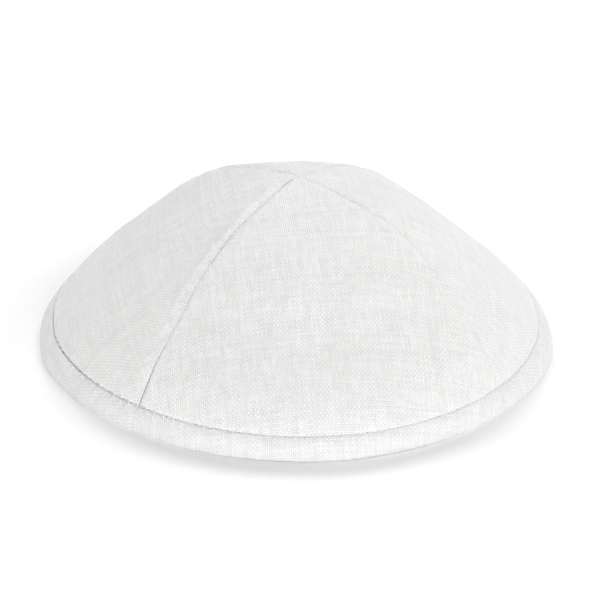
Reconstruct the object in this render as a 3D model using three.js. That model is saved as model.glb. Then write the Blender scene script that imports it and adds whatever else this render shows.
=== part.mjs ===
// A skullcap of four linen gores with a sewn hem, lying mouth down on a surface.
// Millimetres, with +Z up. The origin is on the surface, under the middle of the top.
// The front gore faces -Y. Azimuths are in degrees from -Y, positive towards +X.

import * as THREE from 'three';

// Sizes of the cap
const rimRadius = 85; // outside of the hem where it meets the surface, at a seam
const capHeight = 58.2; // from the surface to the outside of the top
const crownWall = 1.6; // linen on its stiffening
const goreSink = 4; // how deep a gore lies inside the line of its seams
const rimSwell = 0.7; // how far the hem's foot swells out between the seams

// Sizes of the hem
const hemWidth = 9; // along the cloth, from the stitched line to the foot
const hemTopSlope = 52; // degrees below level, at the stitched line
const hemFootSlope = 90; // degrees below level, at the foot
const hemWall = 2.6; // linen turned up inside and sewn down
const footFlat = 1.8; // width of the flat that rests on the surface
const footRound = 0.4; // rounding of the fold, each side of the flat

// Fits
const clearance = 0.3; // between any two pieces
const tipRadius = 0.6; // where the gores' points stop, round the top

// Steps of the faceted surface
const goreRows = 20;
const hemBendRows = 4;
const gridColumns = 18;

// The line of a seam, in shares of the crown's radius and height
const seamSections = [
  { section: 'top', out: 0, up: 1 },
  { section: 'crest', out: 0.15, up: 0.968 },
  { section: 'brow', out: 0.3, up: 0.918 },
  { section: 'shoulder', out: 0.45, up: 0.833 },
  { section: 'upper flank', out: 0.6, up: 0.685 },
  { section: 'flank', out: 0.75, up: 0.477 },
  { section: 'skirt', out: 0.9, up: 0.236 },
  { section: 'stitched line', out: 1, up: 0 },
];

// Where each seam runs, and how far it sags inwards midway down, in shares of goreSink
const seams = [
  { seam: 'front left', azimuth: -36.5, sag: 0 },
  { seam: 'front right', azimuth: 51, sag: -0.74 },
  { seam: 'back right', azimuth: 145, sag: 0.52 },
  { seam: 'back left', azimuth: 228.5, sag: 0.2 },
];

// How deep each gore lies along its middle, in shares of goreSink. Below 0 it stands out.
const gores = [
  { name: 'front', quarterDown: 0.37, halfDown: 0.83, threeQuartersDown: 0.95, stitchedLine: -0.6 },
  { name: 'right', quarterDown: 0.37, halfDown: 0.83, threeQuartersDown: 1.1, stitchedLine: 0.4 },
  { name: 'back', quarterDown: 0.37, halfDown: 0.83, threeQuartersDown: 1, stitchedLine: 0 },
  { name: 'left', quarterDown: 0.37, halfDown: 0.83, threeQuartersDown: 0.9, stitchedLine: 0.15 },
];

const quarterTurn = Math.PI / 2;
const topSlope = THREE.MathUtils.degToRad(hemTopSlope);
const footSlope = THREE.MathUtils.degToRad(hemFootSlope);
const hemBend = hemWidth / (footSlope - topSlope);
const crownFoot = hemBend * (Math.cos(topSlope) - Math.cos(footSlope));
const crownRadius = rimRadius - hemBend * (Math.sin(footSlope) - Math.sin(topSlope));
const crownHeight = capHeight - crownFoot;

const seamLine = new THREE.SplineCurve(
  seamSections.map(({ out, up }) => new THREE.Vector2(out * crownRadius, crownFoot + up * crownHeight)),
);

/** The seam line at a share of its length: distance out, height, and slope below level. */
function seamAt(down) {
  const point = seamLine.getPointAt(down);
  const tangent = seamLine.getTangentAt(down);
  return { out: point.x, up: point.y, slope: Math.atan2(-tangent.y, tangent.x) };
}

/** The hem's outside at a share of its width below the stitched line, on a round bend. */
function hemAt(down) {
  const slope = topSlope + (footSlope - topSlope) * down;
  return {
    out: crownRadius + hemBend * (Math.sin(slope) - Math.sin(topSlope)),
    up: hemBend * (Math.cos(slope) - Math.cos(footSlope)),
    slope,
  };
}

/** The gore between two seams: its dips along the middle, the seams' sags, its turn and its span. */
function goreSide(gore, index) {
  const left = seams[index];
  const right = seams[(index + 1) % seams.length];
  const span = (right.azimuth - left.azimuth + 360) % 360;
  const depths = [0, gore.quarterDown, gore.halfDown, gore.threeQuartersDown, gore.stitchedLine];
  const dips = depths.map((depth, step) => new THREE.Vector2(step, depth * goreSink));
  return {
    name: gore.name,
    dips: new THREE.SplineCurve(dips),
    sags: [left.sag * goreSink, right.sag * goreSink],
    turn: THREE.MathUtils.degToRad(left.azimuth + span / 2),
    span: THREE.MathUtils.degToRad(span),
  };
}

/** How far the crown lies inside the seam line, at shares of the way down and across a gore. */
function crownDip(side, down, across) {
  const between = Math.cos(across * quarterTurn) ** 2;
  const sag = side.sags[0] * between + side.sags[1] * (1 - between);
  const dip = side.dips.getPoint(down).y;
  return dip * Math.sin(across * Math.PI) + sag * Math.sin(down * Math.PI);
}

/** How far the hem lies inside its own line: the crown's dip runs out into the foot's swell. */
function hemDip(side, down, across) {
  const dip = side.dips.getPoint(1).y;
  return (dip * (1 - down) - rimSwell * down) * Math.sin(across * Math.PI);
}

/** A point on a gore's side at a distance out and up, clear of both seams by half the clearance. */
function turned(side, out, up, across) {
  const inset = Math.asin(clearance / 2 / out);
  const azimuth = (across - 0.5) * (side.span - 2 * inset);
  return [out * Math.sin(azimuth), -out * Math.cos(azimuth), up];
}

/** A crown row from the tip to the stitched line. The wall is cut upright at the tip and
 *  parallel to the hem's top at the line. Depth is 0 on the outside and 1 on the inside. */
function crownRow(side, row) {
  const length = seamLine.getLength();
  const down = THREE.MathUtils.lerp(tipRadius / length, 1 - clearance / 2 / length, row / goreRows);
  const line = seamAt(down);
  const push = line.slope + (quarterTurn - line.slope) * down ** 6;
  const cuts = { 0: 0, [goreRows]: topSlope };
  const cut = cuts[row] ?? line.slope;
  return (across, depth) => {
    const dip = crownDip(side, down, across);
    const out = line.out - dip * Math.sin(push) - depth * crownWall * Math.sin(cut);
    const up = line.up - dip * Math.cos(push) - depth * crownWall * Math.cos(cut);
    return turned(side, out, up, across);
  };
}

/** A hem row down the bend, and a last one on the flat of the foot. */
function hemRow(side, row) {
  const share = Math.min(1, row / hemBendRows);
  const down = THREE.MathUtils.lerp(clearance / 2 / hemWidth, 1 - footRound / hemWidth, share);
  const line = hemAt(down);
  const onFoot = row > hemBendRows;
  return (across, depth) => {
    const outside = line.out - hemDip(side, down, across);
    if (onFoot) return turned(side, outside - footRound - depth * footFlat, 0, across);
    const out = outside - depth * hemWall * Math.sin(line.slope);
    return turned(side, out, line.up - depth * hemWall * Math.cos(line.slope), across);
  };
}

/** Closed solid between an outer and an inner skin on one lattice, faces pointing out. */
function closedShell(side, rowAt, rows) {
  const columns = gridColumns;
  const positions = [];
  for (const depth of [0, 1]) {
    for (let row = 0; row <= rows; row += 1) {
      const pointAt = rowAt(side, row);
      for (let column = 0; column <= columns; column += 1) {
        positions.push(...pointAt(column / columns, depth));
      }
    }
  }
  const at = (depth, row, column) => (depth * (rows + 1) + row) * (columns + 1) + column;
  const faces = [];
  const quad = (a, b, c, d) => faces.push(a, b, c, a, c, d);
  for (let row = 0; row < rows; row += 1) {
    for (let column = 0; column < columns; column += 1) {
      const next = column + 1;
      quad(at(0, row, column), at(0, row + 1, column), at(0, row + 1, next), at(0, row, next));
      quad(at(1, row, column), at(1, row, next), at(1, row + 1, next), at(1, row + 1, column));
    }
    quad(at(0, row, 0), at(1, row, 0), at(1, row + 1, 0), at(0, row + 1, 0));
    quad(at(0, row, columns), at(0, row + 1, columns), at(1, row + 1, columns), at(1, row, columns));
  }
  for (let column = 0; column < columns; column += 1) {
    const next = column + 1;
    quad(at(0, 0, column), at(0, 0, next), at(1, 0, next), at(1, 0, column));
    quad(at(0, rows, column), at(1, rows, column), at(1, rows, next), at(0, rows, next));
  }
  const geometry = new THREE.BufferGeometry();
  geometry.setAttribute('position', new THREE.Float32BufferAttribute(positions, 3));
  geometry.setIndex(faces);
  geometry.computeVertexNormals();
  return geometry;
}

/** White linen, with the hem a little brighter than the crown, as in daylight. */
function linen(color) {
  return new THREE.MeshStandardMaterial({ color, roughness: 0.92, metalness: 0 });
}

function piece(name, side, geometry, material) {
  const mesh = new THREE.Mesh(geometry, material);
  mesh.name = `${name}_${side.name}`;
  mesh.rotation.z = side.turn;
  return mesh;
}

const crown = new THREE.Group();
const hem = new THREE.Group();
gores.map(goreSide).forEach((side) => {
  crown.add(piece('gore', side, closedShell(side, crownRow, goreRows), linen('#f1f0ee')));
  hem.add(piece('hem', side, closedShell(side, hemRow, hemBendRows + 1), linen('#f5f4f2')));
});

const skullcap = new THREE.Group();
skullcap.add(crown, hem);

export default skullcap;
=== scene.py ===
"""The finish of a white linen skullcap: four gores, a sewn hem and its topstitching."""

import math

import bpy
import numpy as np
from mathutils import Matrix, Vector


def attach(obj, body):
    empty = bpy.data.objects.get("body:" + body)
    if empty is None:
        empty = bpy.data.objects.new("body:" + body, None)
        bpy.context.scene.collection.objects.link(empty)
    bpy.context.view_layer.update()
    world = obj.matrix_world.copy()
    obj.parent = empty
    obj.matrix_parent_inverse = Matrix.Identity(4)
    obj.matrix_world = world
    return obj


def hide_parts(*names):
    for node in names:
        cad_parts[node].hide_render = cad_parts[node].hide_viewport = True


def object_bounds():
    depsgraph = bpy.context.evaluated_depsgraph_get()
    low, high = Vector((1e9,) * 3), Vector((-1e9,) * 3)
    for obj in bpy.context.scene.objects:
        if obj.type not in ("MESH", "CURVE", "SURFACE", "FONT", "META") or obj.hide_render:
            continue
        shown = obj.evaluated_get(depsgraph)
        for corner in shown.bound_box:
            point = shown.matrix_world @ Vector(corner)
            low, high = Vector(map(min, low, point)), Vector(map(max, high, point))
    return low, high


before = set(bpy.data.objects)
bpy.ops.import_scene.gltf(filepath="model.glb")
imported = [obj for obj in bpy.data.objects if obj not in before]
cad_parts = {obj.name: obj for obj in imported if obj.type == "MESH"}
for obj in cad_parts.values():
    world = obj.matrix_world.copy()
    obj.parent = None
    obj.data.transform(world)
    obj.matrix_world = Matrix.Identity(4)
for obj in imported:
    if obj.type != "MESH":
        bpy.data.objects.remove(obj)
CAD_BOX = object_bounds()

# Lengths are in millimetres up to make_mesh, which turns them into metres
MM = 0.001

# Sizes of the cap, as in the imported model
CAP_HEIGHT = CAD_BOX[1][2] / MM
RIM_RADIUS = 85.0  # outside of the hem where it meets the surface, at a seam
CROWN_WALL = 1.6  # linen on its stiffening
GORE_SINK = 4.0  # how deep a gore lies inside the line of its seams
LEVEL_POWER = 6  # by which that depth turns from square to the cloth to level, down the crown
RIM_SWELL = 0.7  # how far the hem's foot swells out between the seams
HEM_WIDTH = 9.0  # along the cloth, from the stitched line to the foot
HEM_TOP_SLOPE = math.radians(52)  # below level, at the stitched line
HEM_FOOT_SLOPE = math.radians(90)  # below level, at the foot
HEM_WALL = 2.6  # linen turned up inside and sewn down
FOOT_ROUND = 0.7  # how far the fold under the foot rounds in
FOLD_WIDTH = 1.5  # over how much of the hem it does
TIP_WAY = 0.08  # where a gore's point stops, down from the top

# The line of a seam from the top to the stitched line, in shares of the crown's radius and height
SEAM_SECTIONS = (
    # out, up
    (0.0, 1.0),
    (0.15, 0.968),
    (0.3, 0.918),
    (0.45, 0.833),
    (0.6, 0.685),
    (0.75, 0.477),
    (0.9, 0.236),
    (1.0, 0.0),
)

# Each seam's azimuth in degrees from -Y towards +X, its sag in shares of GORE_SINK, and how deep it
# lies between its gores, in shares of SEAM_DEPTH: at the top, a quarter, a half, three quarters and
# all the way down
SEAMS = (
    # azimuth, sag, depths
    (-36.5, 0.0, (0.1, 1.0, 1.15, 0.85, 0.4)),
    (51.0, -0.74, (0.3, 1.0, 0.4, 0.15, 0.15)),
    (145.0, 0.52, (0.2, 0.9, 0.9, 0.7, 0.6)),
    (228.5, 0.2, (0.2, 1.0, 0.9, 0.8, 0.6)),
)

# Each gore's depth along its middle, a quarter, a half, three quarters and all the way down
GORES = (
    # name, depths in shares of GORE_SINK
    ("front", (0.37, 0.83, 0.95, -0.6)),
    ("right", (0.37, 0.83, 1.1, 0.4)),
    ("back", (0.37, 0.83, 1.0, 0.0)),
    ("left", (0.37, 0.83, 0.9, 0.15)),
)

# Seams. Both allowances lie under the gore on one side, which rolls over the seam; the other is tucked.
SEAM_HALF_GAP = 0.042  # half of the gap between two gores
HEM_SEAM_HALF_GAP = 0.012  # half of the gap between two sections of the hem
SEAM_DEPTH = 1.4  # of a seam's valley where the share is 1
ROLL_WIDTH = 3.1  # over which the one gore rolls down to the seam
ROLL_POWER = 1.3  # 1 would be a straight slope, more is a hollow one
TUCK_WIDTH = 2.4  # over which the other is tucked in
TUCK_POWER = 3.0  # the same
ALLOWANCE = 6.0  # width of the allowances, which lift the gore over them
ALLOWANCE_RISE = 0.25
ALLOWANCE_EDGE = 2.6  # over which the rise runs out
SEAM_STITCH = 2.9  # length of the seam's own stitches
SEAM_PUCKER = 0.09  # height of the puckers that the seam's stitches leave
PUCKER_WIDTH = 1.8  # how far they reach to either side
PUCKER_RIDGE = 1.4  # how far from the seam they are highest on the roll
PUCKER_SHIFT = 1.7  # from seam to seam
PUCKER_DRIFT = 0.9  # how unevenly they lie
PUCKER_DRIFT_LENGTH = 6.1
PUCKER_DRIFT_SHIFT = 2.3  # from seam to seam
HEM_SEAM_LOSS = 0.8  # share of a seam's relief that runs out on the hem
HEM_SEAM_END = 1.4  # how far down the hem it has run out

# Topstitching between crown and hem
LINE_HALF_GAP = 0.004  # half of the gap between the two
LINE_OPENING = 0.11  # how far the cloth's edge stands back from the line along a stitch
OPENING_WIDTH = 0.6  # how far from the line the cloth still gives way to it
STITCH_LENGTH = 3.5
STITCH_SHARE = 0.78  # of a stitch that lies on top, before it dives
STITCH_SLANT = 0.2  # how far off the line each end lies
STITCH_DIVE = 0.5  # how deep its ends go
STITCH_DIVE_POWER = 5
STITCH_STEPS = 16
HUMP_SHARE = 0.14  # half of the hump of cloth between two stitches, in shares of a stitch
HUMP_EDGE = 0.06  # over which it rises and falls, on either side of that
HUMP_PRESSED = 0.5  # share by which the humps are lower where the thread is tightest
PRESSING_TIGHTNESS = (0.81, 0.89)  # from which the thread presses them, and at which it does so most
THREAD_RADIUS = 0.17
THREAD_PLIES = 2
PLY_RELIEF = 0.18  # how far its plies stand out, in shares of the radius
THREAD_TWIST = 4.5 * math.pi  # along a stitch
THREAD_CORNERS = 8
UPPER_THREAD_SEAT = 1.2  # how far the upper thread lies above the bottom of the slot, in radii
LOWER_THREAD_LIFT = 0.5  # how far the lower thread's middle lies off the inside, in radii
LOWER_THREAD_WAY = 1.0  # how far below the hem's upper edge it runs
PULL_DEPTH = 0.4  # of the wide hollow that the thread's pull makes
PULL_CROWN = 1.1  # how far up the crown it reaches
PULL_HEM = 1.7  # how far down the hem it reaches
SLOT_DEPTH = 0.85  # of the narrow slot that the stitches lie in
SLOT_WIDTH = 0.27
LINE_TIGHTNESS = 0.55  # mean share of these depths all the way round
LINE_UNEVEN = 0.34  # how far it rises over that mean and sinks under it
LINE_TIGHTEST = math.radians(-80)  # azimuth at which it is highest

# Top of the crown
GATHER_HEIGHT = 0.1
GATHER_COUNT = 9
GATHER_DRIFT = (2, 3, 0.0)  # how far they swing, how often round the cap, and where that starts
GATHER_WAY = 4.5  # how far down they are highest
GATHER_LENGTH = 3.0  # how far they reach up and down from there
PINCH_DEPTH = 0.35  # where the gores' points meet
PINCH_WIDTH = 2.2  # how far down it reaches

# Hem and foot
HEM_PUFF = 0.3  # how far it stands out midway down
HEM_RIPPLE = 0.07  # height of the ripples that the topstitching leaves
RIPPLE_SLANT = 0.09  # in stitches for each millimetre down
RIPPLE_DRIFT = (1.1, 5, 0.0)  # the same as GATHER_DRIFT
RIPPLE_LENGTH = 4.5  # how far down they reach
RIPPLE_START = 0.8  # how far down they have risen
FOOT_WAVE = 0.24  # how far the foot lifts off the surface where it waves up
FOOT_WAVES = 3  # all the way round
FOOT_START = 0.4  # turns them round the cap
FOOT_DRIFT = (0.7, 2, 1.0)  # the same as GATHER_DRIFT

# Soft dents: azimuth in degrees, way down in shares of the crown, then millimetres. One with a depth
# below 0 stands out.
DENTS = (
    # azimuth, down, length, width, depth
    (-53, 0.42, 18.0, 10.0, 2.0),
    (-79, 0.62, 18.0, 16.0, -0.35),
    (-106, 0.84, 14.0, 14.0, -0.4),
    (18, 0.3, 14.0, 12.0, 0.2),
    (-10, 0.66, 18.0, 12.0, -0.2),
    (58, 0.2, 12.0, 7.0, 0.6),
    (79, 0.45, 18.0, 12.0, 0.2),
    (103, 0.65, 16.0, 15.0, -1.0),
    (140, 0.33, 14.0, 10.0, -0.5),
    (176, 0.2, 12.0, 18.0, -1.4),
    (178, 0.5, 20.0, 14.0, 0.4),
    (204, 0.74, 16.0, 12.0, -0.3),
    (232, 0.33, 12.0, 9.0, -0.5),
    (5, 1.07, 6.0, 50.0, -0.6),
)

# Soft waves that all of the cloth has
UNEVENNESS = (
    # length, height, seed
    (34.0, 0.16, 3),
    (11.0, 0.06, 4),
)
WAVE_COUNT = 12  # waves that add up to each
WAVE_SPREAD = (0.8, 1.4)  # the shortest and the longest, in shares of its length

# Inside
INNER_STRIP = 6.5  # width of a seam allowance
INNER_STRIP_EDGE = 0.5  # over which its edge slopes, on either side
INNER_STRIP_RISE = 0.55  # its height
INNER_STRIP_START = (4, 12)  # how far down the strips begin, and have their full height
ALLOWANCE_IN_HEM = 0.5  # share of that height that is left inside the hem

# Weave
CROWN_TONE = 0.83
# the hem's linen is the crown's, a little darker: painted shade that dims the hem under these lights
SHADED_HEM_TONE = 0.81
LINEN_TINT = (1.0, 1.0, 0.994)  # a touch warm, like undyed white linen
WARP_PITCH = 0.66  # from yarn to yarn across a gore
WEFT_PITCH = 0.74  # from yarn to yarn down a gore
YARN_DRIFT = 0.9  # how far yarns wander from straight
YARN_DRIFT_SCALE = 70.0  # of the noise that they wander by, in humps a metre
NOISE_RANGE = (0.3, 0.7)  # in which most of a noise lies
WIDTH_NOISE = (7.31, 0.11, 0.0)  # noise steps from yarn to yarn, along a yarn, and at the start
WIDTH_RANGE = (0.3, 0.75)  # of that noise, at which a yarn is thinnest and thickest
YARN_HALF = (0.34, 0.56)  # half of its width there, in pitches
YARN_WAVE = 0.45  # how far a yarn rises over the others and sinks under them
SLUB_NOISE = (3.17, 0.16, 8.9)  # the same as WIDTH_NOISE
SLUB_RANGE = (0.68, 0.84)  # of that noise, at which a slub starts and is thickest
SETS_APART = 5.3  # noise steps from one set of yarns to the other
SLUB_HALF = 0.1  # how much it adds to half of the yarn's width
SLUB_RISE = 0.2  # how much it adds to the yarn's height
WEAVE_DEPTH = 0.13  # of the relief where a yarn's height is 1
FIBRE_DEPTH = 0.12  # in shares of that depth
FIBRES_ACROSS = 7.0  # noise steps from yarn to yarn
FIBRES_ALONG = 1.1  # noise steps from crossing to crossing
FIBRE_SETS_APART = 3.1  # noise steps from one set of yarns to the other
PORE_SHADE_RANGE = (0.35, 1.25)  # yarn heights between which the painted shade between the yarns fades out to the cloth's own tone
PORE_SHADE_TONE = 0.84  # share of the cloth's tone deep between the yarns: painted shade, where the yarns shade each other
WARP_TONE = 0.05  # how far the yarns that run down a gore are lighter than the mean of both
YARN_TONES = 0.07  # how far the yarns differ in tone
YARN_SEED = 0.37  # of the random number that each yarn has
SEEDS_APART = 91.7  # from one set of yarns to the other
FIBRE_TONES = 0.2  # how far the fibres of a yarn differ in tone
SLUB_TONE = 0.035  # how far a slub, a short thick stretch of a yarn, is lighter than the cloth

# Sewing thread
THREAD_TONES = (0.7, 0.86)  # of its darkest and its lightest fibres
THREAD_FIBRES = 5200.0  # noise steps a metre
THREAD_BUMP = 0.05  # relief of its fibres

# Steps of the surface meshes
SEAM_STEPS = 1500  # of the line that a seam follows
GORE_ROWS = 172
LINE_ROWS = 12  # fine rows on either side of the topstitching
LINE_ZONE = 1.6  # how far from it they lie
LINE_POWER = 1.6  # by which they grow finer towards it
HEM_ROWS = 34
MIDDLE_COLUMNS = 300
EDGE_COLUMNS = 24
EDGE_ZONE = 0.05  # share of a gore's width, at each side, that has the fine columns
EDGE_POWER = 1.5  # by which they grow finer towards the seam
INNER_STEP = 2  # the inside has one row and column for so many of the outside

# Floor, in metres
FLOOR_HALF = 6.0
FLOOR_TONE = 0.97

# Lights: a white card that faces a softbox of brightness 1, with no other light, just comes out white
AMBIENT = 0.05
LIGHT_DISTANCE = 2.3  # metres
SOFTBOXES = (
    # name, azimuth, elevation, width, height, brightness; degrees and metres
    ("left", -70, 20, 1.6, 1.2, 0.195),
    ("front left", -25, 18, 1.6, 1.2, 0.285),
    ("front right", 20, 18, 1.6, 1.2, 0.65),
    ("right", 100, 25, 1.6, 1.2, 0.4),
    ("back right", 163, 42, 1.2, 0.6, 0.39),
    ("back left", 197, 42, 1.2, 0.6, 0.38),
    ("far left", 235, 46, 1.5, 0.7, 0.16),
)

# Camera, from lines measured in the photograph
PHOTO_WIDTH = 600
FOCAL_PIXELS = 2560.9
CAMERA_ELEVATION = math.radians(26.5)
CAMERA_ROLL = math.radians(-0.695)
CAMERA_DISTANCE = 853.2
CAMERA_TARGET = (1.05, 0.0, 12.74)
CAMERA_NEAR = 0.01  # metres from it, where the picture begins
SENSOR_WIDTH = 36.0

QUARTER_TURN = math.pi / 2


def spline(values, share):
    """A smooth line through evenly spaced values, at shares of its length in steps."""
    values = np.asarray(values, float)
    last = len(values) - 1
    steps = np.clip(share, 0, 1) * last
    start = np.minimum(steps.astype(int), last - 1)
    t = (steps - start).reshape(steps.shape + (1,) * (values.ndim - 1))
    before, here = values[np.maximum(start - 1, 0)], values[start]
    there, after = values[start + 1], values[np.minimum(start + 2, last)]
    leave, arrive = (there - before) / 2, (after - here) / 2
    return (
        here
        + leave * t
        + (3 * (there - here) - 2 * leave - arrive) * t**2
        + (2 * (here - there) + leave + arrive) * t**3
    )


def smooth(edge0, edge1, x):
    """0 up to edge0, 1 from edge1, with a smooth step between."""
    t = np.clip((x - edge0) / (edge1 - edge0), 0, 1)
    return t * t * (3 - 2 * t)


def around(azimuth, out, up):
    """Points, or directions, so far out and up at each azimuth."""
    out, up = (np.broadcast_to(length, azimuth.shape) for length in (out, up))
    return np.stack([out * np.sin(azimuth), -out * np.cos(azimuth), up], -1)


HEM_BEND = HEM_WIDTH / (HEM_FOOT_SLOPE - HEM_TOP_SLOPE)
CROWN_FOOT = HEM_BEND * (math.cos(HEM_TOP_SLOPE) - math.cos(HEM_FOOT_SLOPE))
CROWN_RADIUS = RIM_RADIUS - HEM_BEND * (math.sin(HEM_FOOT_SLOPE) - math.sin(HEM_TOP_SLOPE))
STITCH_COUNT = round(2 * math.pi * CROWN_RADIUS / STITCH_LENGTH)


def trace_seam():
    """Length along the seam line, with its distance out, height and slope at each step."""
    sections = np.array(SEAM_SECTIONS) * (CROWN_RADIUS, CAP_HEIGHT - CROWN_FOOT) + (0, CROWN_FOOT)
    line = spline(sections, np.linspace(0, 1, SEAM_STEPS))
    way = np.concatenate([[0], np.cumsum(np.hypot(*np.diff(line, axis=0).T))])
    turn = np.gradient(line, way, axis=0)
    return way, line[:, 0], line[:, 1], np.arctan2(-turn[:, 1], turn[:, 0])


SEAM_WAY, SEAM_OUT, SEAM_UP, SEAM_SLOPE = trace_seam()
CROWN_LENGTH = SEAM_WAY[-1]


class Side:
    """One gore with its hem, from the seam at its left to the seam at its right."""

    def __init__(self, index):
        self.index = index
        self.name, depths = GORES[index]
        left, left_sag, left_depths = SEAMS[index]
        right, right_sag, right_depths = SEAMS[(index + 1) % len(SEAMS)]
        self.start = math.radians(left)
        self.span = math.radians((right - left) % 360)
        self.sags = left_sag * GORE_SINK, right_sag * GORE_SINK
        self.seam_depths = left_depths, right_depths
        self.dips = np.array((0.0, *depths)) * GORE_SINK

    def crown(self, way, across):
        """Distance out and height of the crown's skin, way down from the top."""
        down = way / CROWN_LENGTH
        out, up, slope = (np.interp(way, SEAM_WAY, x) for x in (SEAM_OUT, SEAM_UP, SEAM_SLOPE))
        between = np.cos(across * QUARTER_TURN) ** 2
        sag = self.sags[0] * between + self.sags[1] * (1 - between)
        dip = spline(self.dips, down) * np.sin(across * math.pi) + sag * np.sin(down * math.pi)
        push = slope + (QUARTER_TURN - slope) * down**LEVEL_POWER
        return out - dip * np.sin(push), up - dip * np.cos(push)

    def hem(self, way, across):
        """Distance out and height of the hem's skin, way down from the stitched line."""
        down = way / HEM_WIDTH
        slope = HEM_TOP_SLOPE + (HEM_FOOT_SLOPE - HEM_TOP_SLOPE) * down
        out = CROWN_RADIUS + HEM_BEND * (np.sin(slope) - math.sin(HEM_TOP_SLOPE))
        up = HEM_BEND * (np.cos(slope) - math.cos(HEM_FOOT_SLOPE))
        dip = (self.dips[-1] * (1 - down) - RIM_SWELL * down) * np.sin(across * math.pi)
        return out - dip, up

    def place(self, out, up, across, half_gap=SEAM_HALF_GAP):
        """Points in space, just clear of the seams on both sides."""
        inset = np.arcsin(half_gap / out)
        azimuth = self.start + inset + across * (self.span - 2 * inset)
        return around(azimuth, out, up)

    def seam_distance(self, out, across):
        """Distance along the cloth to the left and to the right seam."""
        width = out * self.span
        return across * width, (1 - across) * width


def cross_columns():
    """Shares across a gore: fine steps beside each seam, even ones between."""
    edge = EDGE_ZONE * np.linspace(0, 1, EDGE_COLUMNS, endpoint=False) ** EDGE_POWER
    middle = np.linspace(EDGE_ZONE, 1 - EDGE_ZONE, MIDDLE_COLUMNS + 1)
    return np.concatenate([edge, middle, 1 - edge[::-1]])


def normals(points):
    """Unit normals of a lattice whose rows run down and columns run towards +azimuth."""
    down = np.gradient(points, axis=0)
    along = np.gradient(points, axis=1)
    facing = np.cross(down, along)
    return facing / np.linalg.norm(facing, axis=-1, keepdims=True)


def swing(azimuth, amount, count, start):
    """A swing back and forth, so often all the way round, which makes a row of waves uneven."""
    return amount * np.sin(count * azimuth + start)


def waves(points, length, height, seed):
    """Soft random unevenness, with humps about half the length across."""
    draw = np.random.default_rng(seed)
    total = np.zeros(points.shape[:-1])
    for _ in range(WAVE_COUNT):
        heading = draw.normal(size=3)
        heading *= 2 * math.pi / (length * draw.uniform(*WAVE_SPREAD) * np.linalg.norm(heading))
        total += np.cos(points @ heading + draw.uniform(0, 2 * math.pi))
    return total * height / math.sqrt(WAVE_COUNT / 2)


def bump_at(distance, width):
    """1 at no distance, falling smoothly to nothing on both sides."""
    return np.exp(-((distance / width) ** 2))


def flat_pattern(side, way, out, across):
    """Where the cloth of a gore lay before it was sewn, x across it and y down its middle."""
    angle = (across - 0.5) * side.span * out / way
    return np.stack([way * np.sin(angle), way * np.cos(angle)], -1)


def stitch_share(azimuth):
    """Where along a stitch of the topstitching an azimuth is, 0 and 1 being its two ends."""
    return (azimuth / (2 * math.pi) * STITCH_COUNT) % 1


def seam_pucker(way, seam):
    """Waves that the seam's own stitches leave along it, from -1 to 1, out of step from seam to seam."""
    drift = PUCKER_DRIFT * np.sin(way / PUCKER_DRIFT_LENGTH + PUCKER_DRIFT_SHIFT * seam)
    return np.sin(2 * math.pi * way / SEAM_STITCH + drift + PUCKER_SHIFT * seam)


def seam_relief(side, way, out, across):
    """The roll over the seam on the right, the tuck under the one on the left, and their puckers."""
    left, right = side.seam_distance(out, across)
    left_depth, right_depth = (spline(depths, way / CROWN_LENGTH) for depths in side.seam_depths)
    tuck = -SEAM_DEPTH * (1 - np.minimum(1, left / TUCK_WIDTH)) ** TUCK_POWER
    roll = -SEAM_DEPTH * (1 - np.minimum(1, right / ROLL_WIDTH)) ** ROLL_POWER
    rise = ALLOWANCE_RISE * smooth(ALLOWANCE, ALLOWANCE - ALLOWANCE_EDGE, right)
    left_pucker = SEAM_PUCKER * seam_pucker(way, side.index) * bump_at(left, PUCKER_WIDTH)
    right_pucker = SEAM_PUCKER * seam_pucker(way, (side.index + 1) % len(SEAMS))
    right_pucker = right_pucker * bump_at(right - PUCKER_RIDGE, PUCKER_WIDTH)
    return left_depth * (tuck + left_pucker) + right_depth * (roll + rise + right_pucker)


def line_tightness(azimuth):
    """How tight the topstitching is, all the way round."""
    return LINE_TIGHTNESS + LINE_UNEVEN * np.cos(azimuth - LINE_TIGHTEST)


def between_stitches(azimuth):
    """1 on the hump where one stitch ends and the next begins, 0 along both. The tightest press it down."""
    end = 0.5 - np.abs(stitch_share(azimuth) - 0.5)
    pressed = HUMP_PRESSED * smooth(*PRESSING_TIGHTNESS, line_tightness(azimuth))
    return (1 - pressed) * smooth(HUMP_SHARE + HUMP_EDGE, HUMP_SHARE - HUMP_EDGE, end)


def line_opening(side, distance, across):
    """How far the thread draws the cloth back from the line, at a distance from it."""
    azimuth = side.start + across * side.span
    drawn = line_tightness(azimuth) * (1 - between_stitches(azimuth))
    return LINE_OPENING * drawn * bump_at(distance, OPENING_WIDTH)


def line_relief(side, distance, pull_width, across):
    """The hollow and the slot of the topstitching, at a distance from its line."""
    azimuth = side.start + across * side.span
    between = between_stitches(azimuth)
    slot = SLOT_DEPTH * bump_at(distance, SLOT_WIDTH) * (1 - between)
    pull = PULL_DEPTH * bump_at(distance, pull_width) * (1 - between)
    return -line_tightness(azimuth) * (slot + pull)


def dent_relief(azimuth, way, out):
    """Soft dents and bulges, which run on over seams."""
    relief = np.zeros_like(way)
    for middle, down, length, width, depth in DENTS:
        turn = np.angle(np.exp(1j * (azimuth - math.radians(middle))))
        relief -= depth * bump_at(way - down * CROWN_LENGTH, length) * bump_at(turn * out, width)
    return relief


def unevenness(skin):
    """Soft waves that all of the cloth has."""
    return sum(waves(skin, length, height, seed) for length, height, seed in UNEVENNESS)


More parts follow.
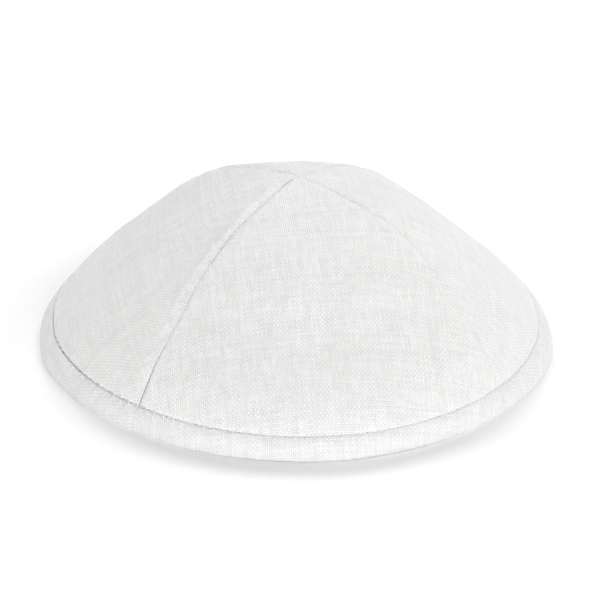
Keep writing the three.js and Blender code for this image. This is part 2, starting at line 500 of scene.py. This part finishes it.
def crown_relief(side, way, out, across, skin):
    """How far the outside of the crown lies off its smooth skin."""
    azimuth = side.start + across * side.span
    gathers = GATHER_HEIGHT * np.cos(GATHER_COUNT * azimuth + swing(azimuth, *GATHER_DRIFT))
    gathers = gathers * bump_at(way - GATHER_WAY, GATHER_LENGTH)
    pinch = -PINCH_DEPTH * bump_at(way, PINCH_WIDTH)
    dents = dent_relief(azimuth, way, out)
    line = line_relief(side, CROWN_LENGTH - way, PULL_CROWN, across)
    return seam_relief(side, way, out, across) + dents + gathers + pinch + unevenness(skin) + line


def foot_lift(azimuth):
    """How far the foot of the hem lies off the surface: it touches in some places, not in others."""
    wave = np.cos(FOOT_WAVES * azimuth - FOOT_START + swing(azimuth, *FOOT_DRIFT))
    return FOOT_WAVE * (0.5 + 0.5 * wave)


def hem_relief(side, way, out, across, skin):
    """How far the outside of the hem lies off its smooth skin, with the foot's fold rounded in."""
    azimuth = side.start + across * side.span
    puff = HEM_PUFF * np.sin(np.clip(way / HEM_WIDTH, 0, 1) * math.pi)
    slanted = 2 * math.pi * (stitch_share(azimuth) + RIPPLE_SLANT * way)
    ripple = np.sin(slanted + swing(azimuth, *RIPPLE_DRIFT))
    ripple = HEM_RIPPLE * ripple * bump_at(way, RIPPLE_LENGTH) * smooth(0, RIPPLE_START, way)
    dents = dent_relief(azimuth, CROWN_LENGTH + way, out)
    fold = 1 - np.sqrt(1 - np.clip((way - HEM_WIDTH) / FOLD_WIDTH + 1, 0, 1) ** 2)
    line = line_relief(side, way, PULL_HEM, across)
    seams = seam_relief(side, CROWN_LENGTH + way, out, across)
    seams = (1 - HEM_SEAM_LOSS * smooth(0, HEM_SEAM_END, way)) * seams
    return seams + dents + puff + ripple + unevenness(skin) + line - FOOT_ROUND * fold


def lattice_faces(rows, columns, first, outward):
    """Quads of a lattice of vertices numbered row by row from first."""
    corner = first + np.arange(rows - 1)[:, None] * columns + np.arange(columns - 1)[None]
    quads = np.stack([corner, corner + columns, corner + columns + 1, corner + 1], -1).reshape(-1, 4)
    return quads if outward else quads[:, ::-1]


def joined_edges(fine, coarse, step):
    """Triangles between an outer border and an inner one with a point for each step of it."""
    faces = []
    for number in range(len(coarse) - 1):
        here, there = coarse[number], coarse[number + 1]
        points = fine[number * step : (number + 1) * step + 1]
        half = len(points) // 2
        faces += [(here, points[i + 1], points[i]) for i in range(half)]
        faces.append((here, there, points[half]))
        faces += [(there, points[i + 1], points[i]) for i in range(half, len(points) - 1)]
    return faces


def shell(outside, inside, step):
    """Vertices and faces of a closed wall between a fine outer lattice and a coarse inner one."""
    rows, columns = outside.shape[:2]
    inner_rows, inner_columns = inside.shape[:2]
    first = rows * columns
    outer = np.arange(first).reshape(rows, columns)
    inner = first + np.arange(inner_rows * inner_columns).reshape(inner_rows, inner_columns)
    faces = lattice_faces(rows, columns, 0, True).tolist()
    faces += lattice_faces(inner_rows, inner_columns, first, False).tolist()
    borders = (
        (outer[0], inner[0]),
        (outer[:, -1], inner[:, -1]),
        (outer[-1, ::-1], inner[-1, ::-1]),
        (outer[::-1, 0], inner[::-1, 0]),
    )
    for fine, coarse in borders:
        faces += joined_edges(fine.tolist(), coarse.tolist(), step)
    return np.concatenate([outside.reshape(-1, 3), inside.reshape(-1, 3)]), faces


def make_mesh(name, vertices, faces, flat, material):
    """A piece in metres with its cloth's flat pattern as UV map, riding on the cap's one body."""
    mesh = bpy.data.meshes.new(name)
    mesh.from_pydata((vertices * MM).tolist(), [], faces)
    if flat is not None:
        corners = np.empty(len(mesh.loops), int)
        mesh.loops.foreach_get("vertex_index", corners)
        layer = mesh.uv_layers.new(name="cloth")
        layer.uv.foreach_set("vector", (flat[corners] * MM).astype(np.float32).ravel())
    mesh.materials.append(material)
    mesh.shade_smooth()
    piece = bpy.data.objects.new(name, mesh)
    bpy.context.scene.collection.objects.link(piece)
    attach(piece, "root")
    return piece


def crown_rows():
    """Way down at each row of the crown, fine near the topstitching."""
    end = CROWN_LENGTH - LINE_HALF_GAP
    even = np.linspace(TIP_WAY, end - LINE_ZONE, GORE_ROWS + 1)
    fine = end - LINE_ZONE * (1 - np.linspace(0, 1, LINE_ROWS + 1)[1:]) ** LINE_POWER
    return np.concatenate([even, fine])


def hem_rows():
    """Way down at each row of the hem, fine near the topstitching."""
    fine = LINE_HALF_GAP + LINE_ZONE * np.linspace(0, 1, LINE_ROWS, endpoint=False) ** LINE_POWER
    return np.concatenate([fine, np.linspace(LINE_HALF_GAP + LINE_ZONE, HEM_WIDTH, HEM_ROWS + 1)])


def inner_strip(side, out, across):
    """How far a seam allowance lifts the inside: pressed to the side that rolls over the seam."""
    _, right = side.seam_distance(out, across)
    return INNER_STRIP_RISE * smooth(INNER_STRIP + INNER_STRIP_EDGE, INNER_STRIP - INNER_STRIP_EDGE, right)


def make_gore(side, material):
    """The crown's wall between two seams, from the top to the stitched line."""
    way, across = np.meshgrid(crown_rows(), cross_columns(), indexing="ij")
    way = way - line_opening(side, CROWN_LENGTH - way, across)
    out, up = side.crown(way, across)
    skin = side.place(out, up, across)
    facing = normals(skin)
    flat = flat_pattern(side, way, out, across)
    outside = skin + facing * crown_relief(side, way, out, across, skin)[..., None]
    wall = CROWN_WALL + inner_strip(side, out, across) * smooth(*INNER_STRIP_START, way)
    piece = make_wall(f"linen_gore_{side.name}", outside, skin - facing * wall[..., None], flat, material)
    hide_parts(f"gore_{side.name}")


def make_hem(side, material):
    """The wall of cloth turned up inside, from the stitched line to the foot."""
    way, across = np.meshgrid(hem_rows(), cross_columns(), indexing="ij")
    way = way + line_opening(side, way, across)
    out, up = side.hem(way, across)
    skin = side.place(out, up, across, HEM_SEAM_HALF_GAP)
    skin[..., 2] += foot_lift(side.start + across * side.span) * smooth(0, HEM_WIDTH, way)
    facing = normals(skin)
    flat = flat_pattern(side, CROWN_LENGTH + way, out, across)
    outside = skin + facing * hem_relief(side, way, out, across, skin)[..., None]
    wall = HEM_WALL + ALLOWANCE_IN_HEM * inner_strip(side, out, across)
    piece = make_wall(f"linen_hem_{side.name}", outside, skin - facing * wall[..., None], flat, material)
    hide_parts(f"hem_{side.name}")


def make_wall(name, outside, inside, flat, material):
    """A closed wall of cloth that never goes below the surface that it rests on. Its cloth runs
    on round the foot, so the inside lies further down the flat pattern."""
    inside, inner_flat = (lattice[::INNER_STEP, ::INNER_STEP] for lattice in (inside, flat))
    vertices, faces = shell(outside, inside, INNER_STEP)
    vertices[:, 2] = np.maximum(vertices[:, 2], 0)
    inner_flat = inner_flat * (1 + HEM_WALL / CROWN_LENGTH)
    pattern = np.concatenate([flat.reshape(-1, 2), inner_flat.reshape(-1, 2)])
    return make_mesh(name, vertices, faces, pattern, material)


def hem_skin(sides, azimuth, way):
    """The hem's skin at each azimuth: distance out, height, and how far an allowance lifts the inside."""
    found = np.zeros((3, *azimuth.shape))
    for side in sides:
        across = ((azimuth - side.start) % (2 * math.pi)) / side.span
        out, up = side.hem(np.full_like(azimuth, way), across)
        found = np.where(across < 1, np.stack([out, up, inner_strip(side, out, across)]), found)
    return found


class Stitches:
    """A round of stitches on the hem's skin, way down from the stitched line: a row of steps for each."""

    def __init__(self, sides, way):
        self.share = np.linspace(-1, 1, STITCH_STEPS + 1)[None, :]
        number = np.arange(STITCH_COUNT)[:, None] + 0.5
        self.azimuth = (number + self.share * STITCH_SHARE / 2) * 2 * math.pi / STITCH_COUNT
        slope = HEM_TOP_SLOPE + (HEM_FOOT_SLOPE - HEM_TOP_SLOPE) * way / HEM_WIDTH
        self.outward = around(self.azimuth, math.sin(slope), math.cos(slope))
        self.down = np.cross(self.outward, around(self.azimuth + QUARTER_TURN, 1.0, 0.0))
        self.out, up, self.allowance = hem_skin(sides, self.azimuth, way)
        self.skin = around(self.azimuth, self.out, up)
        self.dive = STITCH_DIVE * np.abs(self.share) ** STITCH_DIVE_POWER

    def in_slot(self):
        """How deep under the skin the middle of a thread lies in the slot between crown and hem."""
        dents = dent_relief(self.azimuth, np.full_like(self.azimuth, CROWN_LENGTH), self.out)
        slot = line_tightness(self.azimuth) * (PULL_DEPTH + SLOT_DEPTH)
        return slot - UPPER_THREAD_SEAT * THREAD_RADIUS + self.dive - unevenness(self.skin) - dents

    def on_inside(self):
        """How deep under the skin the middle of a thread lies on the inside of the hem."""
        wall = HEM_WALL + ALLOWANCE_IN_HEM * self.allowance
        return wall + LOWER_THREAD_LIFT * THREAD_RADIUS - self.dive


def make_stitches(name, stitches, depth, material):
    """A round of stitches so deep under the skin, each a two-ply thread that dives in at its ends."""
    outward, down = stitches.outward, stitches.down
    slant = stitches.share * STITCH_SLANT
    centre = stitches.skin - outward * depth[..., None] + down * slant[..., None]
    turn = np.linspace(0, 2 * math.pi, THREAD_CORNERS, endpoint=False)
    twist = np.linspace(0, THREAD_TWIST, STITCH_STEPS + 1)[None, :, None]
    radius = THREAD_RADIUS * (1 + PLY_RELIEF * np.cos(THREAD_PLIES * (turn - twist)))
    ring = (radius * np.cos(turn))[..., None] * outward[:, :, None]
    ring = ring + (radius * np.sin(turn))[..., None] * down[:, :, None]
    vertices = (centre[:, :, None] + ring).reshape(-1, 3)
    faces = tube_faces(STITCH_COUNT, STITCH_STEPS, THREAD_CORNERS)
    piece = make_mesh(name, vertices, faces, None, material)


def tube_faces(count, steps, corners):
    """Faces of closed tubes whose vertices are numbered tube by tube and ring by ring."""
    faces = []
    for first in range(0, count * (steps + 1) * corners, (steps + 1) * corners):
        for ring in range(first, first + steps * corners, corners):
            for corner in range(corners):
                here, there = ring + corner, ring + (corner + 1) % corners
                faces.append((here, there, there + corners, here + corners))
        faces.append(tuple(range(first, first + corners))[::-1])
        faces.append(tuple(range(first + steps * corners, first + (steps + 1) * corners)))
    return faces


class Graph:
    """Short words for the nodes of one material."""

    def __init__(self, name):
        self.material = bpy.data.materials.new(name)
        self.material.use_nodes = True
        self.tree = self.material.node_tree
        self.shader = self.tree.nodes["Principled BSDF"]

    def node(self, kind, inputs=(), **settings):
        """A node with its inputs, each a number or a socket, by name or number."""
        made = self.tree.nodes.new(kind)
        for key, value in settings.items():
            setattr(made, key, value)
        for key, value in dict(inputs).items():
            self.put(made.inputs[key], value)
        return made

    def put(self, socket, value):
        if isinstance(value, bpy.types.NodeSocket):
            self.tree.links.new(value, socket)
        else:
            socket.default_value = value

    def math(self, operation, *values):
        return self.node("ShaderNodeMath", enumerate(values), operation=operation).outputs[0]

    def vector(self, operation, *values):
        return self.node("ShaderNodeVectorMath", enumerate(values), operation=operation).outputs[0]

    def point(self, x, y, z=0.0):
        return self.node("ShaderNodeCombineXYZ", {0: x, 1: y, 2: z}).outputs[0]

    def noise(self, place, scale=1.0, detail=2.0, output="Fac"):
        inputs = {"Vector": place, "Scale": scale, "Detail": detail}
        return self.node("ShaderNodeTexNoise", inputs).outputs[output]

    def spread(self, value, low, high, to_low=0.0, to_high=1.0):
        """The value from low to high, moved to another range and held there."""
        inputs = {"Value": value, "From Min": low, "From Max": high, "To Min": to_low, "To Max": to_high}
        return self.node("ShaderNodeMapRange", inputs).outputs[0]

    def mix(self, share, low, high):
        """Low at a share of 0, high at 1. Both are numbers or number sockets."""
        inputs = {0: share, 2: low, 3: high}
        return self.node("ShaderNodeMix", inputs, data_type="FLOAT").outputs[0]

    def grey(self, value):
        """The value as a nearly neutral colour."""
        channels = [self.math("MULTIPLY", value, tint) for tint in LINEN_TINT]
        return self.node("ShaderNodeCombineColor", enumerate(channels)).outputs[0]


def yarn_noise(g, number, along, lift, steps, detail):
    """Noise along the yarns that differs from yarn to yarn and from set to set."""
    apart, stretch, start = steps
    place = g.math("MULTIPLY", number, apart), g.math("MULTIPLY", along, stretch)
    return g.noise(g.point(*place, start + SETS_APART * lift), detail=detail)


def yarns(g, across, along, lift):
    """One set of yarns of a plain weave: its height, its tone and its fibres. Lift is 1 for the
    set that goes under where the other goes over."""
    number = g.math("FLOOR", across)
    side = g.math("SUBTRACT", g.math("FRACT", across), 0.5)
    uneven = yarn_noise(g, number, along, lift, WIDTH_NOISE, 2.0)
    slub = g.spread(yarn_noise(g, number, along, lift, SLUB_NOISE, 0.0), *SLUB_RANGE)
    half = g.math("MULTIPLY_ADD", slub, SLUB_HALF, g.spread(uneven, *WIDTH_RANGE, *YARN_HALF))
    off_middle = g.math("POWER", g.math("DIVIDE", side, half), 2.0)
    profile = g.math("SQRT", g.math("MAXIMUM", g.math("SUBTRACT", 1.0, off_middle), 0.0))
    turn = g.math("MULTIPLY", g.math("ADD", g.math("SUBTRACT", along, number), lift - 0.5), math.pi)
    thick = g.math("MULTIPLY_ADD", slub, SLUB_RISE, 1.0)
    wave = g.math("MULTIPLY_ADD", g.math("COSINE", turn), YARN_WAVE, thick)
    place = g.math("MULTIPLY", across, FIBRES_ACROSS), g.math("MULTIPLY", along, FIBRES_ALONG)
    fibres = g.noise(g.point(*place, FIBRE_SETS_APART * lift))
    seed = {"W": g.math("ADD", number, YARN_SEED + SEEDS_APART * lift)}
    own = g.node("ShaderNodeTexWhiteNoise", seed, noise_dimensions="1D").outputs[0]
    differ = g.math("ADD", g.spread(uneven, *NOISE_RANGE, -0.5, 0.5), g.math("SUBTRACT", own, 0.5))
    tone = g.math("MULTIPLY_ADD", differ, YARN_TONES, g.math("MULTIPLY", slub, SLUB_TONE))
    return g.math("MULTIPLY", profile, wave), tone, fibres


def linen(name, tone):
    """Plain woven linen: two sets of uneven yarns that pass over and under each other, with painted shade
    in the hollows between them.
    """
    g = Graph(name)
    cloth = g.node("ShaderNodeUVMap", uv_map="cloth").outputs[0]
    drift = g.vector("SUBTRACT", g.noise(cloth, YARN_DRIFT_SCALE, output="Color"), (0.5, 0.5, 0.5))
    drifted = g.vector("MULTIPLY_ADD", drift, (YARN_DRIFT * MM,) * 3, cloth)
    counted = g.vector("DIVIDE", drifted, (WARP_PITCH * MM, WEFT_PITCH * MM, 1.0))
    x, y, _ = g.node("ShaderNodeSeparateXYZ", {0: counted}).outputs
    warp, warp_tone, warp_fibres = yarns(g, x, y, 0.0)
    weft, weft_tone, weft_fibres = yarns(g, y, x, 1.0)
    over = g.math("GREATER_THAN", warp, weft)
    yarn_tone = g.mix(over, weft_tone, warp_tone)
    set_tone = g.mix(over, 1 - WARP_TONE, 1 + WARP_TONE)
    fibres = g.math("SUBTRACT", g.mix(over, weft_fibres, warp_fibres), 0.5)
    height = g.math("MAXIMUM", warp, weft)
    # painted shade: the colour grows darker where the yarns lie low, in place of the shade that falls
    # between them
    deep = g.spread(height, *PORE_SHADE_RANGE, PORE_SHADE_TONE, 1.0)
    shade = g.math("ADD", yarn_tone, set_tone)
    shade = g.math("MULTIPLY_ADD", fibres, FIBRE_TONES, shade)
    g.put(g.shader.inputs["Base Color"], g.grey(g.math("MULTIPLY", g.math("MULTIPLY", deep, shade), tone)))
    relief = g.math("MULTIPLY_ADD", fibres, FIBRE_DEPTH, height)
    bump = g.node("ShaderNodeBump", {"Height": relief, "Strength": 1.0, "Distance": WEAVE_DEPTH * MM})
    g.put(g.shader.inputs["Normal"], bump.outputs[0])
    g.shader.inputs["Roughness"].default_value = 0.92
    g.shader.inputs["Specular IOR Level"].default_value = 0.2
    g.shader.inputs["Sheen Weight"].default_value = 0.1
    g.shader.inputs["Sheen Roughness"].default_value = 0.6
    return g.material


def thread(name):
    """Matte sewing thread."""
    g = Graph(name)
    place = g.node("ShaderNodeTexCoord").outputs["Object"]
    fibre = g.noise(place, THREAD_FIBRES)
    g.put(g.shader.inputs["Base Color"], g.grey(g.spread(fibre, *NOISE_RANGE, *THREAD_TONES)))
    bump = g.node("ShaderNodeBump", {"Height": fibre, "Strength": 0.4, "Distance": THREAD_BUMP * MM})
    g.put(g.shader.inputs["Normal"], bump.outputs[0])
    g.shader.inputs["Roughness"].default_value = 0.7
    return g.material


def make_floor():
    """A wide white sheet for the cap to lie on."""
    corners = [(x * FLOOR_HALF, y * FLOOR_HALF, 0) for x, y in ((-1, -1), (1, -1), (1, 1), (-1, 1))]
    mesh = bpy.data.meshes.new("floor")
    mesh.from_pydata(corners, [], [(0, 1, 2, 3)])
    floor = bpy.data.objects.new("floor", mesh)
    g = Graph("white paper")
    g.shader.inputs["Base Color"].default_value = (FLOOR_TONE, FLOOR_TONE, FLOOR_TONE, 1)
    g.shader.inputs["Roughness"].default_value = 0.9
    g.shader.inputs["Specular IOR Level"].default_value = 0.1
    mesh.materials.append(g.material)
    bpy.context.scene.collection.objects.link(floor)


def make_light(name, azimuth, elevation, width, height, brightness):
    """A softbox aimed at the cap."""
    data = bpy.data.lights.new(f"softbox {name}", "AREA")
    data.shape = "RECTANGLE"
    data.size, data.size_y = width, height
    data.energy = brightness * (math.pi * LIGHT_DISTANCE) ** 2
    light = bpy.data.objects.new(data.name, data)
    azimuth, elevation = math.radians(azimuth), math.radians(elevation)
    level, up = LIGHT_DISTANCE * math.cos(elevation), LIGHT_DISTANCE * math.sin(elevation)
    light.location = (level * math.sin(azimuth), -level * math.cos(azimuth), up)
    light.rotation_euler = (math.pi / 2 - elevation, 0, azimuth)
    light.visible_camera = False
    bpy.context.scene.collection.objects.link(light)


def make_world(brightness):
    """Even light from all round."""
    world = bpy.data.worlds.new("studio")
    world.use_nodes = True
    background = world.node_tree.nodes["Background"]
    background.inputs["Color"].default_value = (1, 1, 1, 1)
    background.inputs["Strength"].default_value = brightness
    bpy.context.scene.world = world


def make_camera():
    """The photograph's camera."""
    data = bpy.data.cameras.new("camera")
    data.sensor_width = SENSOR_WIDTH
    data.lens = FOCAL_PIXELS / PHOTO_WIDTH * SENSOR_WIDTH
    data.clip_start = CAMERA_NEAR
    camera = bpy.data.objects.new("camera", data)
    rise, roll = CAMERA_ELEVATION, CAMERA_ROLL
    back = np.array([0, -math.cos(rise), math.sin(rise)])
    level, rising = np.array([1.0, 0, 0]), np.array([0, math.sin(rise), math.cos(rise)])
    right = math.cos(roll) * level - math.sin(roll) * rising
    up = math.sin(roll) * level + math.cos(roll) * rising
    place = (np.array(CAMERA_TARGET) + back * CAMERA_DISTANCE) * MM
    camera.matrix_world = Matrix([(right[i], up[i], back[i], place[i]) for i in range(3)] + [(0, 0, 0, 1)])
    bpy.context.scene.collection.objects.link(camera)
    bpy.context.scene.camera = camera


crown_linen = linen("crown linen", CROWN_TONE)
# the same linen as the crown, painted a little darker as shade on the hem
shaded_hem_linen = linen("hem linen", SHADED_HEM_TONE)
sewing_thread = thread("sewing thread")
sides = [Side(index) for index in range(len(GORES))]
for side in sides:
    make_gore(side, crown_linen)
    make_hem(side, shaded_hem_linen)
upper, lower = Stitches(sides, 0.0), Stitches(sides, LOWER_THREAD_WAY)
make_stitches("hem_topstitching", upper, upper.in_slot(), sewing_thread)
make_stitches("hem_inner_stitching", lower, lower.on_inside(), sewing_thread)

make_floor()
make_world(AMBIENT)
for softbox in SOFTBOXES:
    make_light(*softbox)
make_camera()
bpy.context.scene.view_settings.view_transform = "Standard"
